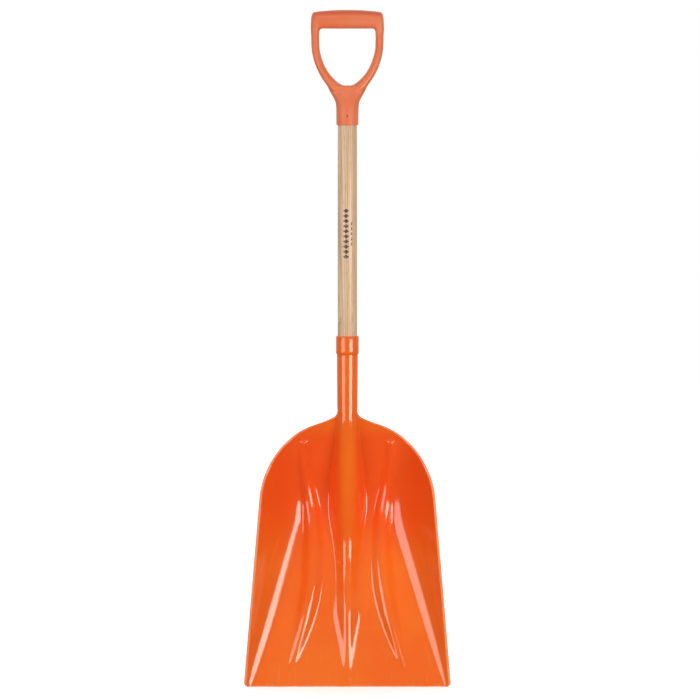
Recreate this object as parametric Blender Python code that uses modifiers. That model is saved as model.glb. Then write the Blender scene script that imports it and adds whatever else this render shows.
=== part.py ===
"""Scoop shovel with a D-grip: a moulded plastic scoop, an ash shaft and a moulded plastic grip.

Metres, +Z up along the shaft, dish facing -Y. The origin is the middle of the underside
of the grip bar, where the shovel hangs on a peg or in the hand.
"""

import math

import bmesh
import bpy

# Levels along the shaft.
GRIP_MOUTH_Z = -0.1730
COLLAR_TOP_Z = -0.5530
COLLAR_BASE_Z = -0.5850
RIM_TOP_Z = -0.6860
SHOULDER_Z = -0.8480
EDGE_Z = -1.1857

# Scoop, seen from the front.
FRONT_HALF_WIDTH = 0.1873
SIDE_FLARE = 0.0846
CORNER_RADIUS = 0.0100
SHOULDER_RISE = 0.1420
SHOULDER_POWER = 2.2
FLARE_START_ANGLE = math.radians(68.0)
FLARE_REACH = 0.0210
NECK_HALF_WIDTH = 0.0184
NECK_FILLET_Z = -0.7025
RIM_LIP = 0.0040
LIP_MIN = 0.0005
LIP_FADE = 0.0300
EDGE_STOCK = 0.0060
TRIM_HEIGHT = 0.0500

# Scoop, seen from the side. Heights are measured from the floor's plane towards -Y.
WALL = 0.0032
LIFT = math.radians(14.5)
EDGE_Y = -0.0400
SIDE_SLOPE = math.tan(math.radians(55.0))
SIDE_CREASE_X = 0.1845
SIDE_CREASE_TAPER = 0.281
SIDE_BLEND_FRONT = 0.0240
SIDE_BLEND_BACK = 0.0640
BACK_SLOPE = math.tan(math.radians(31.8))
BACK_CREASE_Z = -0.8450
BACK_BLEND = 0.0480
CORNER_BLEND = 0.0450

# Middle ridge, as smooth curves: (z, y) of its crest, (z, radius) of its round top,
# (z, angle) of its flanks.
RIDGE_CREST = ((-1.170, -0.0362), (-1.155, -0.0325), (-1.100, -0.0262), (-1.050, -0.0199),
               (-0.985, -0.0036), (-0.930, 0.0043), (-0.850, -0.0020), (-0.750, -0.0133),
               (-0.700, -0.0181), (-0.686, -0.0184))
RIDGE_RADIUS = ((-1.160, 0.0115), (-1.050, 0.0120), (-0.950, 0.0145), (-0.800, 0.0172),
                (-0.686, 0.0184))
RIDGE_FLANK = ((-1.160, math.radians(36)), (-1.000, math.radians(40)), (-0.900, math.radians(55)),
               (-0.800, math.radians(66)), (-0.686, math.radians(68)))
RIDGE_BLEND = 0.0090

# Side ribs, as smooth curves: (z, x) of the crest, (z, half width), (z, height above the dish).
SIDE_RIB_PATH = ((-1.164, 0.1050), (-1.141, 0.0980), (-1.066, 0.0775), (-1.004, 0.0655),
                 (-0.934, 0.0620), (-0.864, 0.0670), (-0.795, 0.0775), (-0.735, 0.0785))
SIDE_RIB_WIDTH = ((-1.160, 0.0040), (-1.141, 0.0105), (-1.100, 0.0170), (-1.050, 0.0220),
                  (-0.970, 0.0235), (-0.880, 0.0200), (-0.800, 0.0140), (-0.750, 0.0115))
SIDE_RIB_HEIGHT = ((-1.158, 0.0000), (-1.148, 0.0010), (-1.050, 0.0112), (-0.985, 0.0120),
                   (-0.900, 0.0105), (-0.800, 0.0060), (-0.760, 0.0050), (-0.748, 0.0040),
                   (-0.741, 0.0000))
WIDEST_RIB_SHARE = 0.70

# Socket of the scoop. The bore clears the shaft by FIT_GAP.
FIT_GAP = 0.0003
COLLAR_RADIUS = 0.0205
SOCKET_TOP_RADIUS = 0.0189
SOCKET_NOSE = ((0.0148, -0.7200), (0.0135, -0.7300), (0.0110, -0.7370), (0.0070, -0.7410), (0, -0.7425))

# Shaft.
SHAFT_RADIUS = 0.01745
TENON_TOP_Z = -0.1340
SHOULDER_TAPER_Z = (-0.5820, -0.5880)
TAPER_TOP_RADIUS = 0.0153
TAPER_END_RADIUS = 0.0122
SHAFT_END_Z = -0.7150
EDGE_CHAMFER = 0.0010

# Grip: sections round half of the loop, as (x, z, tilt of the section in degrees from the
# x axis, half width in the section's plane, half depth).
GRIP_LOOP = (
    (0.0000, 0.0168, 90.0, 0.0168, 0.0165),
    (0.0260, 0.0165, 90.0, 0.0165, 0.0165),
    (0.0440, 0.0158, 88.0, 0.0158, 0.0160),
    (0.0510, 0.0150, 78.0, 0.0158, 0.0155),
    (0.0560, 0.0128, 64.0, 0.0158, 0.0150),
    (0.0580, 0.0015, 40.0, 0.0101, 0.0135),
    (0.0578, -0.0100, 6.0, 0.0075, 0.0120),
    (0.0577, -0.0230, -2.0, 0.0073, 0.0115),
    (0.0567, -0.0390, -7.0, 0.0072, 0.0112),
    (0.0525, -0.0567, -18.0, 0.0074, 0.0112),
    (0.0450, -0.0747, -30.0, 0.0076, 0.0114),
    (0.0346, -0.0908, -42.0, 0.0082, 0.0120),
    (0.0190, -0.1070, -62.0, 0.0100, 0.0128),
    (0.0000, -0.1106, -90.0, 0.0078, 0.0130),
)
# Neck and ferrule of the grip, as (z, half width, half depth).
GRIP_NECK = (
    (-0.1020, 0.0358, 0.0122),
    (-0.1107, 0.0325, 0.0140),
    (-0.1197, 0.0273, 0.0168),
    (-0.1287, 0.0225, 0.0190),
    (-0.1377, 0.0205, 0.0198),
    (-0.1467, 0.0201, 0.0199),
    (GRIP_MOUTH_Z, 0.0199, 0.0199),
)

# Fasteners.
PIN_Z = -0.1565
PIN_RADIUS = 0.0018
PIN_HALF_LENGTH = 0.0194
SCREW_LEVELS = {"head_screw_upper": -0.6160, "head_screw_lower": -0.6520}
SCREW_SHANK_RADIUS = 0.0021
SCREW_LENGTH = 0.0220
SCREW_HEAD_RADIUS = 0.0046
SCREW_HEAD_HEIGHT = 0.0026
# Outline of a screw's head, as shares of its radius and height.
SCREW_HEAD_PROFILE = ((0.00, 1.00), (0.55, 1.00), (0.88, 0.72), (1.00, 0.30), (1.00, 0.00))
SCREW_POINT_SHARE = 0.2
HOLE_OVERRUN = 0.0100

# Resolution.
INNER_COLUMNS = 11
OUTER_COLUMNS = 12
OUTER_GRADING = 1.35
LOWER_ROWS = 22
UPPER_ROWS = 20
SHOULDER_SHARE = 0.80
SLOPE_STEP = 0.001
ROUND_STEPS = 32
FASTENER_STEPS = 20
SECTION_POINTS = 14
LOOP_STEPS = 3
LOOP_SECTION_POWER = 2.3
ROUND_POWER = 2.0
RIB_SEARCH_STEPS = 20
MERGE_DISTANCE = 0.00001
SHARP_ANGLE = math.radians(40)

OBJECT_NAME = "scoop_shovel"

COLOURS = {
    "scoop_orange": ((0.86, 0.15, 0.02, 1), 0.18, 0.0),
    "grip_orange": ((0.84, 0.22, 0.09, 1), 0.50, 0.0),
    "ash_wood": ((0.72, 0.52, 0.33, 1), 0.45, 0.0),
    "steel": ((0.55, 0.55, 0.56, 1), 0.35, 1.0),
}


def clear_scene():
    for obj in list(bpy.data.objects):
        bpy.data.objects.remove(obj)


def new_collection(name):
    collection = bpy.data.collections.new(name)
    bpy.context.scene.collection.children.link(collection)
    return collection


def new_material(name):
    colour, roughness, metallic = COLOURS[name]
    material = bpy.data.materials.new(name)
    material.use_nodes = True
    shader = material.node_tree.nodes["Principled BSDF"]
    shader.inputs["Base Color"].default_value = colour
    shader.inputs["Roughness"].default_value = roughness
    shader.inputs["Metallic"].default_value = metallic
    return material


def mesh_object(name, points, faces, collection, material=None):
    mesh = bpy.data.meshes.new(name)
    mesh.from_pydata(points, [], faces)
    mesh.update()
    obj = bpy.data.objects.new(name, mesh)
    collection.objects.link(obj)
    if material:
        mesh.materials.append(material)
    return obj


def shade(obj):
    obj.data.shade_smooth()
    obj.data.set_sharp_from_angle(angle=SHARP_ANGLE)


def smooth_curve(points, at):
    """Value at `at` of a smooth curve through (position, value) points, in rising order."""
    if at <= points[0][0]:
        return points[0][1]
    if at >= points[-1][0]:
        return points[-1][1]
    i = next(n for n in range(len(points) - 1) if at <= points[n + 1][0])
    (x0, y0), (x1, y1) = points[i], points[i + 1]

    def slope(n):
        if n <= 0 or n >= len(points) - 1:
            return (points[min(n + 1, len(points) - 1)][1] - points[max(n - 1, 0)][1]) / (
                points[min(n + 1, len(points) - 1)][0] - points[max(n - 1, 0)][0])
        return (points[n + 1][1] - points[n - 1][1]) / (points[n + 1][0] - points[n - 1][0])

    step = x1 - x0
    t = (at - x0) / step
    return ((2 * t**3 - 3 * t**2 + 1) * y0 + (t**3 - 2 * t**2 + t) * step * slope(i)
            + (3 * t**2 - 2 * t**3) * y1 + (t**3 - t**2) * step * slope(i + 1))


def blend_up(low, high, reach):
    """The larger of two heights, with a fillet where they differ by less than `reach`."""
    t = (high - low + reach) / (2 * reach)
    if t <= 0:
        return low
    if t >= 1:
        return high
    return low + 2 * reach * (t**3 - t**4 / 2)


def floor_y(z):
    return EDGE_Y + (z - EDGE_Z) * math.tan(LIFT)


def round_roof(offset, radius, flank):
    """Drop below the crest of a ridge with a round top and flanks at the angle `flank`."""
    offset = abs(offset)
    tangent = radius * math.sin(flank)
    if offset <= tangent:
        return radius - math.sqrt(radius**2 - offset**2)
    return radius * (1 - math.cos(flank)) + (offset - tangent) * math.tan(flank)


def dish_y(x, z):
    """Depth of the front face of the scoop at (x, z)."""
    along = z - EDGE_Z
    share = min(1.0, max(0.0, along) / (SHOULDER_Z - EDGE_Z))
    side_blend = SIDE_BLEND_FRONT + (SIDE_BLEND_BACK - SIDE_BLEND_FRONT) * math.sqrt(share)
    crease = SIDE_CREASE_X - SIDE_CREASE_TAPER * along
    side = SIDE_SLOPE * (abs(x) - crease) * math.cos(math.atan(SIDE_CREASE_TAPER))
    back = BACK_SLOPE * (z - BACK_CREASE_Z)
    height = blend_up(0.0, side, side_blend)
    height = blend_up(height, back, BACK_BLEND + (CORNER_BLEND - BACK_BLEND) * min(1, abs(x) / crease))
    offset = (abs(x) - smooth_curve(SIDE_RIB_PATH, z)) / smooth_curve(SIDE_RIB_WIDTH, z)
    height += smooth_curve(SIDE_RIB_HEIGHT, z) * max(0.0, 1 - offset**2) ** 2
    floor = floor_y(z)
    roof = round_roof(x, smooth_curve(RIDGE_RADIUS, z), smooth_curve(RIDGE_FLANK, z))
    return floor - blend_up(height, floor - smooth_curve(RIDGE_CREST, z) - roof, RIDGE_BLEND)


def cubic(start, toward, back_from, end, t):
    """Point at t on a cubic Bezier curve."""
    weights = ((1 - t)**3, 3 * (1 - t)**2 * t, 3 * (1 - t) * t**2, t**3)
    points = (start, toward, back_from, end)
    return tuple(sum(w * p[i] for w, p in zip(weights, points)) for i in (0, 1))


def flared_half_width(z):
    """Half width of the straight flared sides, carried on upwards."""
    return FRONT_HALF_WIDTH - SIDE_FLARE * (z - EDGE_Z)


def shoulder_point(angle):
    """Point (x, z) of the round shoulder, from its widest point at angle 0."""
    power = 2 / SHOULDER_POWER
    z = SHOULDER_Z + SHOULDER_RISE * math.sin(angle) ** power
    return flared_half_width(z) * math.cos(angle) ** power, z


def rim_point(t):
    """Point (x, z) of the right half of the rim: t 0 to 1 is the flared side, 1 to 2 the shoulder."""
    if t <= 1:
        z = EDGE_Z + t * (SHOULDER_Z - EDGE_Z)
        into_corner = max(0.0, CORNER_RADIUS - (z - EDGE_Z))
        return flared_half_width(z) - CORNER_RADIUS + math.sqrt(CORNER_RADIUS**2 - into_corner**2), z
    x, z = shoulder_point(FLARE_START_ANGLE * min(1.0, (t - 1) / SHOULDER_SHARE))
    if t - 1 <= SHOULDER_SHARE:
        return x, z
    before = shoulder_point(FLARE_START_ANGLE - SLOPE_STEP)
    slope = (z - before[1]) / (x - before[0])
    toward = (x - FLARE_REACH, z - FLARE_REACH * slope)
    back_from = (NECK_HALF_WIDTH, NECK_FILLET_Z)
    return cubic((x, z), toward, back_from, (NECK_HALF_WIDTH, RIM_TOP_Z),
                 (t - 1 - SHOULDER_SHARE) / (1 - SHOULDER_SHARE))


def scoop_rows():
    """(rim point, spine z) of each row of the shell, from below the front edge to the neck."""
    front = rim_point(0)
    rows = [((front[0], EDGE_Z - EDGE_STOCK), EDGE_Z - EDGE_STOCK)]
    for i in range(LOWER_ROWS + 1):
        t = i / LOWER_ROWS
        rim = rim_point(0.5 * t + 0.5 * t**2)  # closer rows at the rounded front corners
        rows.append((rim, rim[1]))
    for i in range(1, UPPER_ROWS + 1):
        t = i / UPPER_ROWS
        rows.append((rim_point(1 + t), SHOULDER_Z + t * (RIM_TOP_Z - SHOULDER_Z)))
    return rows


def rib_share(rim, spine_z):
    """Where a row crosses the side rib, as a share of the way from the spine to the rim."""
    low, high = 0.0, WIDEST_RIB_SHARE
    for _ in range(RIB_SEARCH_STEPS):
        share = (low + high) / 2
        z = spine_z + share * (rim[1] - spine_z)
        if share * rim[0] < smooth_curve(SIDE_RIB_PATH, z):
            low = share
        else:
            high = share
    return low


def row_shares(rim, spine_z):
    """Shares of the columns of one row. The same column runs along the crest of the side rib."""
    rib = rib_share(rim, spine_z)
    inner = [rib * i / INNER_COLUMNS for i in range(INNER_COLUMNS)]
    outer = [rib + (1 - rib) * (i / OUTER_COLUMNS) ** OUTER_GRADING for i in range(OUTER_COLUMNS + 1)]
    return inner + outer


def scoop_shell(collection):
    """The dished shell of the scoop: a lofted surface with a flat lip, made solid by Solidify."""
    points, faces = [], []
    for rim, spine_z in scoop_rows():
        length = math.hypot(rim[0], rim[1] - spine_z)
        lip = RIM_LIP * min(1.0, max(0.0, (length - NECK_HALF_WIDTH) / LIP_FADE))
        half_row = []
        for share in row_shares(rim, spine_z):
            share *= 1 - (lip + LIP_MIN) / length
            x, z = share * rim[0], spine_z + share * (rim[1] - spine_z)
            half_row.append((x, dish_y(x, z), z))
        half_row.append((rim[0], half_row[-1][1], rim[1]))
        points += [(-x, y, z) for x, y, z in reversed(half_row[1:])] + half_row
    width = 2 * len(half_row) - 1
    for row in range(len(points) // width - 1):
        for column in range(width - 1):
            first = row * width + column
            faces.append((first, first + 1, first + width + 1, first + width))
    shell = mesh_object("scoop_head", points, faces, collection)
    solidify = shell.modifiers.new("wall", "SOLIDIFY")
    solidify.thickness = WALL
    solidify.offset = -1
    return shell


def turned(name, profile, collection, steps=ROUND_STEPS):
    """A solid of revolution about Z from (radius, z) points. The outer side runs downwards."""
    points = [(radius, 0, z) for radius, z in profile]
    edges = [(i, i + 1) for i in range(len(points) - 1)]
    mesh = bpy.data.meshes.new(name)
    mesh.from_pydata(points, edges, [])
    obj = bpy.data.objects.new(name, mesh)
    collection.objects.link(obj)
    screw = obj.modifiers.new("turn", "SCREW")
    screw.steps = screw.render_steps = steps
    screw.use_merge_vertices = True
    screw.merge_threshold = MERGE_DISTANCE
    screw.use_smooth_shade = True
    return obj


def cutter(obj):
    obj.hide_render = True
    obj.display_type = "WIRE"
    return obj


def boolean(obj, other, operation):
    modifier = obj.modifiers.new(f"{operation.lower()} {other.name}", "BOOLEAN")
    modifier.operation = operation
    modifier.object = other
    modifier.solver = "EXACT"


def rod_along_y(name, radius, start_y, end_y, z, collection):
    mesh = bpy.data.meshes.new(name)
    shape = bmesh.new()
    bmesh.ops.create_cone(shape, cap_ends=True, segments=FASTENER_STEPS, radius1=radius, radius2=radius,
                          depth=end_y - start_y)
    shape.to_mesh(mesh)
    shape.free()
    obj = bpy.data.objects.new(name, mesh)
    obj.location = (0, (start_y + end_y) / 2, z)
    obj.rotation_euler = (math.radians(-90), 0, 0)
    collection.objects.link(obj)
    return obj


def section_ring(half_width, half_depth, power):
    """Points (across, depth) of a superellipse section, going round once."""
    ring = []
    for i in range(SECTION_POINTS):
        angle = 2 * math.pi * i / SECTION_POINTS
        across = math.copysign(abs(math.cos(angle)) ** (2 / power), math.cos(angle))
        depth = math.copysign(abs(math.sin(angle)) ** (2 / power), math.sin(angle))
        ring.append((half_width * across, half_depth * depth))
    return ring


def ring_faces(rings, size, closed):
    """Quads between successive rings of `size` points; `closed` joins the last to the first."""
    faces = []
    for ring in range(rings if closed else rings - 1):
        for i in range(size):
            j = (i + 1) % size
            above = (ring + 1) % rings
            faces.append((ring * size + i, ring * size + j, above * size + j, above * size + i))
    return faces


def grip_loop(collection, material):
    """The D of the grip: a closed loft round the hand opening."""
    left = [(-x, z, 180 - tilt, width, depth) for x, z, tilt, width, depth in reversed(GRIP_LOOP[1:-1])]
    stations = list(GRIP_LOOP) + left
    points = []
    count = len(stations)
    for n in range(count):
        four = [stations[(n + k) % count] for k in (-1, 0, 1, 2)]
        for step in range(LOOP_STEPS):
            t = step / LOOP_STEPS
            x, z, tilt, half_width, half_depth = [between(values, t) for values in zip(*unwrapped(four))]
            lean = math.radians(tilt)
            for across, depth in section_ring(half_width, half_depth, LOOP_SECTION_POWER):
                points.append((x + across * math.cos(lean), depth, z + across * math.sin(lean)))
    faces = ring_faces(count * LOOP_STEPS, SECTION_POINTS, closed=True)
    return mesh_object("d_grip", points, faces, collection, material)


def between(values, t):
    """Smooth value at t between the second and third of four equally spaced values."""
    a, b, c, d = values
    return 0.5 * (2 * b + (c - a) * t + (2 * a - 5 * b + 4 * c - d) * t**2 + (3 * b - a - 3 * c + d) * t**3)


def unwrapped(stations):
    """The stations with each tilt within half a turn of the one before."""
    out = [list(stations[0])]
    for station in stations[1:]:
        tilt = station[2]
        while tilt - out[-1][2] > 180:
            tilt -= 360
        while tilt - out[-1][2] < -180:
            tilt += 360
        out.append([station[0], station[1], tilt, station[3], station[4]])
    return out


def grip_neck(collection):
    """The web and ferrule under the loop, lofted from flat oval to round."""
    points = []
    for z, half_width, half_depth in GRIP_NECK:
        ring = section_ring(half_width, half_depth, ROUND_POWER)
        points += [(across, depth, z) for across, depth in ring]
    faces = ring_faces(len(GRIP_NECK), SECTION_POINTS, closed=False)
    last = (len(GRIP_NECK) - 1) * SECTION_POINTS
    faces.append(tuple(reversed(range(SECTION_POINTS))))
    faces.append(tuple(range(last, last + SECTION_POINTS)))
    return cutter(mesh_object("grip_neck_shape", points, faces, collection))


def outward(obj):
    """Turns a closed mesh's faces outwards."""
    shape = bmesh.new()
    shape.from_mesh(obj.data)
    bmesh.ops.recalc_face_normals(shape, faces=shape.faces)
    shape.to_mesh(obj.data)
    shape.free()


def build_shaft(parts, material):
    profile = [(0, TENON_TOP_Z), (SHAFT_RADIUS - EDGE_CHAMFER, TENON_TOP_Z),
               (SHAFT_RADIUS, TENON_TOP_Z - EDGE_CHAMFER), (SHAFT_RADIUS, SHOULDER_TAPER_Z[0]),
               (TAPER_TOP_RADIUS, SHOULDER_TAPER_Z[1]), (TAPER_END_RADIUS, SHAFT_END_Z + EDGE_CHAMFER),
               (TAPER_END_RADIUS - EDGE_CHAMFER, SHAFT_END_Z), (0, SHAFT_END_Z)]
    shaft = turned("shaft", profile, parts)
    shaft.data.materials.append(material)
    return shaft


def front_trim(collection):
    """A block that cuts the front edge of the scoop square."""
    bpy.ops.mesh.primitive_cube_add(size=1, location=(0, 0, EDGE_Z - TRIM_HEIGHT / 2))
    block = bpy.context.object
    block.name = "front_trim"
    block.scale = (3 * FRONT_HALF_WIDTH, FRONT_HALF_WIDTH, TRIM_HEIGHT)
    for owner in block.users_collection:
        owner.objects.unlink(block)
    collection.objects.link(block)
    return block


def build_head(parts, cutters, material):
    head = scoop_shell(parts)
    head.data.materials.append(material)
    socket = turned("socket_shape", [
        (0, COLLAR_TOP_Z), (COLLAR_RADIUS - EDGE_CHAMFER, COLLAR_TOP_Z),
        (COLLAR_RADIUS, COLLAR_TOP_Z - EDGE_CHAMFER), (COLLAR_RADIUS, COLLAR_BASE_Z),
        (SOCKET_TOP_RADIUS, COLLAR_BASE_Z), (NECK_HALF_WIDTH, RIM_TOP_Z), *SOCKET_NOSE], cutters)
    bore = turned("socket_bore", [
        (0, COLLAR_TOP_Z + HOLE_OVERRUN), (SHAFT_RADIUS + FIT_GAP, COLLAR_TOP_Z + HOLE_OVERRUN),
        (SHAFT_RADIUS + FIT_GAP, SHOULDER_TAPER_Z[0] - FIT_GAP),
        (TAPER_TOP_RADIUS + FIT_GAP, SHOULDER_TAPER_Z[1] - FIT_GAP),
        (TAPER_END_RADIUS + FIT_GAP, SHAFT_END_Z - FIT_GAP), (0, SHAFT_END_Z - FIT_GAP)], cutters)
    boolean(head, cutter(socket), "UNION")
    boolean(head, cutter(bore), "DIFFERENCE")
    boolean(head, cutter(front_trim(cutters)), "DIFFERENCE")
    return head


def build_grip(parts, cutters, material):
    grip = grip_loop(parts, material)
    outward(grip)
    neck = grip_neck(cutters)
    outward(neck)
    bore = turned("grip_bore", [
        (0, TENON_TOP_Z + FIT_GAP), (SHAFT_RADIUS + FIT_GAP, TENON_TOP_Z + FIT_GAP),
        (SHAFT_RADIUS + FIT_GAP, GRIP_MOUTH_Z - HOLE_OVERRUN), (0, GRIP_MOUTH_Z - HOLE_OVERRUN)], cutters)
    boolean(grip, neck, "UNION")
    boolean(grip, cutter(bore), "DIFFERENCE")
    return grip


def add_pin(grip, shaft, parts, cutters, material):
    """The steel pin through the grip's ferrule and the shaft, a little below the surface."""
    pin = rod_along_y("grip_pin", PIN_RADIUS, -PIN_HALF_LENGTH, PIN_HALF_LENGTH, PIN_Z, parts)
    pin.data.materials.append(material)
    reach = PIN_HALF_LENGTH + HOLE_OVERRUN
    hole = rod_along_y("pin_hole", PIN_RADIUS + FIT_GAP, -reach, reach, PIN_Z, cutters)
    for obj in (grip, shaft):
        boolean(obj, cutter(hole), "DIFFERENCE")


def add_screws(head, shaft, parts, cutters, material):
    """Two pan-head screws through the back of the socket into the shaft."""
    for name, z in SCREW_LEVELS.items():
        share = (z - COLLAR_BASE_Z) / (RIM_TOP_Z - COLLAR_BASE_Z)
        surface = SOCKET_TOP_RADIUS + share * (NECK_HALF_WIDTH - SOCKET_TOP_RADIUS)
        seat = surface + FIT_GAP
        profile = [(out * SCREW_HEAD_RADIUS, seat + up * SCREW_HEAD_HEIGHT)
                   for out, up in SCREW_HEAD_PROFILE]
        point_start = seat - (1 - SCREW_POINT_SHARE) * SCREW_LENGTH
        profile += [(SCREW_SHANK_RADIUS, seat), (SCREW_SHANK_RADIUS, point_start), (0, seat - SCREW_LENGTH)]
        screw = turned(name, profile, parts, FASTENER_STEPS)
        screw.rotation_euler = (math.radians(-90), 0, 0)
        screw.location = (0, 0, z)
        screw.data.materials.append(material)
        hole = rod_along_y(f"{name}_hole", SCREW_SHANK_RADIUS + FIT_GAP,
                           seat - SCREW_LENGTH - FIT_GAP, seat + HOLE_OVERRUN, z, cutters)
        for obj in (head, shaft):
            boolean(obj, cutter(hole), "DIFFERENCE")


def main():
    clear_scene()
    parts = new_collection(OBJECT_NAME)
    cutters = new_collection("cutters")
    materials = {name: new_material(name) for name in COLOURS}
    shaft = build_shaft(parts, materials["ash_wood"])
    head = build_head(parts, cutters, materials["scoop_orange"])
    grip = build_grip(parts, cutters, materials["grip_orange"])
    add_pin(grip, shaft, parts, cutters, materials["steel"])
    add_screws(head, shaft, parts, cutters, materials["steel"])
    for obj in (head, grip):
        shade(obj)


main()
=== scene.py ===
"""The looks of the scoop shovel: its fine surfaces, its materials, the floor, the light and the camera.

Metres, +Z up along the shaft, the hollow side of the scoop faces -Y.
"""

import math

import bmesh
import bpy
import numpy as np
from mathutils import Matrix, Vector


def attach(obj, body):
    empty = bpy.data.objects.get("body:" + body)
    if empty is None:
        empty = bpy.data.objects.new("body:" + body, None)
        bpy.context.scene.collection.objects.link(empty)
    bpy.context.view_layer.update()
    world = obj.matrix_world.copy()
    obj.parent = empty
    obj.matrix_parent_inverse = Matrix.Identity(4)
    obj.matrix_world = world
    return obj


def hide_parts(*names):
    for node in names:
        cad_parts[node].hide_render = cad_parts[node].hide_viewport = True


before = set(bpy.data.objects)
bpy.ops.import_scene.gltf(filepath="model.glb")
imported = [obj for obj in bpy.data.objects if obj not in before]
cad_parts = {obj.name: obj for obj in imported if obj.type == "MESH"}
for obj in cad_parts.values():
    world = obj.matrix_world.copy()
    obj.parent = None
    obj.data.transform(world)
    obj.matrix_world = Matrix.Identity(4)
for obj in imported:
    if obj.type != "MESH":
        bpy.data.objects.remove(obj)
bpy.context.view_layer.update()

# Levels along the shaft.
EDGE_Z = -1.1857
COLLAR_TOP_Z = -0.5530
COLLAR_BASE_Z = -0.5850
RIM_TOP_Z = -0.6860
SHOULDER_Z = -0.8480
GRIP_MOUTH_Z = -0.1730

# Scoop, seen from the front.
FRONT_HALF_WIDTH = 0.1873
SIDE_FLARE = 0.0846
CORNER_RADIUS = 0.0100
SHOULDER_RISE = 0.1420
SHOULDER_POWER = 2.2
SHOULDER_SHARE = 0.80
FLARE_START_ANGLE = math.radians(68.0)
FLARE_REACH = 0.0210
SLOPE_STEP = 0.001
NECK_HALF_WIDTH = 0.0184
NECK_FILLET_Z = -0.7025

# Scoop, seen from the side.
WALL = 0.0032
RIM_LIP = 0.0040
LIP_MIN = 0.0002
LIP_FADE = 0.0300
EDGE_ROUND = 0.0009
LIFT = math.radians(14.5)
EDGE_Y = -0.0400
SIDE_SLOPE = math.tan(math.radians(55.0))
SIDE_CREASE_X = 0.1845
SIDE_CREASE_TAPER = 0.281
SIDE_BLEND_FRONT = 0.0240
SIDE_BLEND_BACK = 0.0640
BACK_SLOPE = math.tan(math.radians(31.8))
BACK_CREASE_Z = -0.8450
BACK_BLEND = 0.0480
CORNER_BLEND = 0.0450

# Middle ridge: (z, y) of its crest, (z, radius) of its round top, (z, angle) of its flanks.
RIDGE_CREST = ((-1.170, -0.0362), (-1.155, -0.0325), (-1.100, -0.0262), (-1.050, -0.0199),
               (-0.985, -0.0036), (-0.930, 0.0043), (-0.850, -0.0020), (-0.750, -0.0133),
               (-0.700, -0.0181), (-0.686, -0.0184))
RIDGE_RADIUS = ((-1.160, 0.0115), (-1.050, 0.0120), (-0.950, 0.0145), (-0.800, 0.0172), (-0.686, 0.0184))
RIDGE_FLANK = ((-1.160, math.radians(36)), (-1.000, math.radians(40)), (-0.900, math.radians(55)),
               (-0.800, math.radians(66)), (-0.686, math.radians(68)))
RIDGE_BLEND = 0.0090

# Side ribs: (z, x) of the path, (z, half width), (z, height above the dish).
SIDE_RIB_PATH = ((-1.164, 0.1050), (-1.141, 0.0980), (-1.066, 0.0775), (-1.004, 0.0655),
                 (-0.934, 0.0620), (-0.864, 0.0670), (-0.795, 0.0775), (-0.735, 0.0785))
SIDE_RIB_WIDTH = ((-1.160, 0.0040), (-1.141, 0.0105), (-1.100, 0.0170), (-1.050, 0.0220),
                  (-0.970, 0.0235), (-0.880, 0.0200), (-0.800, 0.0140), (-0.750, 0.0115))
SIDE_RIB_HEIGHT = ((-1.158, 0.0000), (-1.148, 0.0010), (-1.050, 0.0112), (-0.985, 0.0120),
                   (-0.900, 0.0105), (-0.800, 0.0060), (-0.760, 0.0050), (-0.748, 0.0040), (-0.741, 0.0))
WIDEST_RIB_SHARE = 0.70

# Socket of the scoop. Each hole clears what it holds by FIT_GAP.
FIT_GAP = 0.0003
COLLAR_RADIUS = 0.0205
SOCKET_TOP_RADIUS = 0.0189
NOSE_TOP_Z = -0.7200
NOSE_RADIUS = 0.0148
NOSE_LENGTH = 0.0225
NOSE_SKIRT = 3.0
ROUNDING_Z = (-0.7600, -0.6900)
SOCKET_FADE_Z = (-0.7060, -0.6780)
TUBE_FILLET = 0.0050
SOCKET_TOP_GAP = 0.0010

# Eased corners of the collar, as offsets (outwards, up) from the sharp corner.
COLLAR_ROOT = ((0.0002, -0.0003), (0.0006, 0.0))
COLLAR_LEDGE = ((-0.0006, 0.0), (-0.0002, 0.0003), (0.0, 0.0008))
COLLAR_SHARES = (0.25, 0.5, 0.75)
COLLAR_ROUND = 0.0012
COLLAR_ROUND_POINTS = 6
BORE_MOUTH = ((0.0004, 0.0), (0.0001, -0.0001), (0.0, -0.0004))

# Shaft.
SHAFT_RADIUS = 0.01745
TENON_TOP_Z = -0.1340
SHOULDER_TAPER_Z = (-0.5820, -0.5880)
TAPER_TOP_RADIUS = 0.0153
TAPER_END_RADIUS = 0.0122
SHAFT_END_Z = -0.7150
END_CHAMFER = 0.0010

# Grip: sections round half of the loop, as (x, z, tilt of the section in degrees from the
# x axis, half width in the section's plane, half depth).
GRIP_LOOP = (
    (0.0000, 0.0168, 90.0, 0.0168, 0.0165),
    (0.0260, 0.0165, 90.0, 0.0165, 0.0165),
    (0.0440, 0.0158, 88.0, 0.0158, 0.0160),
    (0.0510, 0.0150, 78.0, 0.0158, 0.0155),
    (0.0560, 0.0128, 64.0, 0.0158, 0.0150),
    (0.0580, 0.0015, 40.0, 0.0101, 0.0135),
    (0.0578, -0.0100, 6.0, 0.0075, 0.0120),
    (0.0577, -0.0230, -2.0, 0.0073, 0.0115),
    (0.0567, -0.0390, -7.0, 0.0072, 0.0112),
    (0.0525, -0.0567, -18.0, 0.0074, 0.0112),
    (0.0450, -0.0747, -30.0, 0.0076, 0.0114),
    (0.0346, -0.0908, -42.0, 0.0082, 0.0120),
    (0.0190, -0.1070, -62.0, 0.0100, 0.0128),
    (0.0000, -0.1106, -90.0, 0.0078, 0.0130),
)
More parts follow.
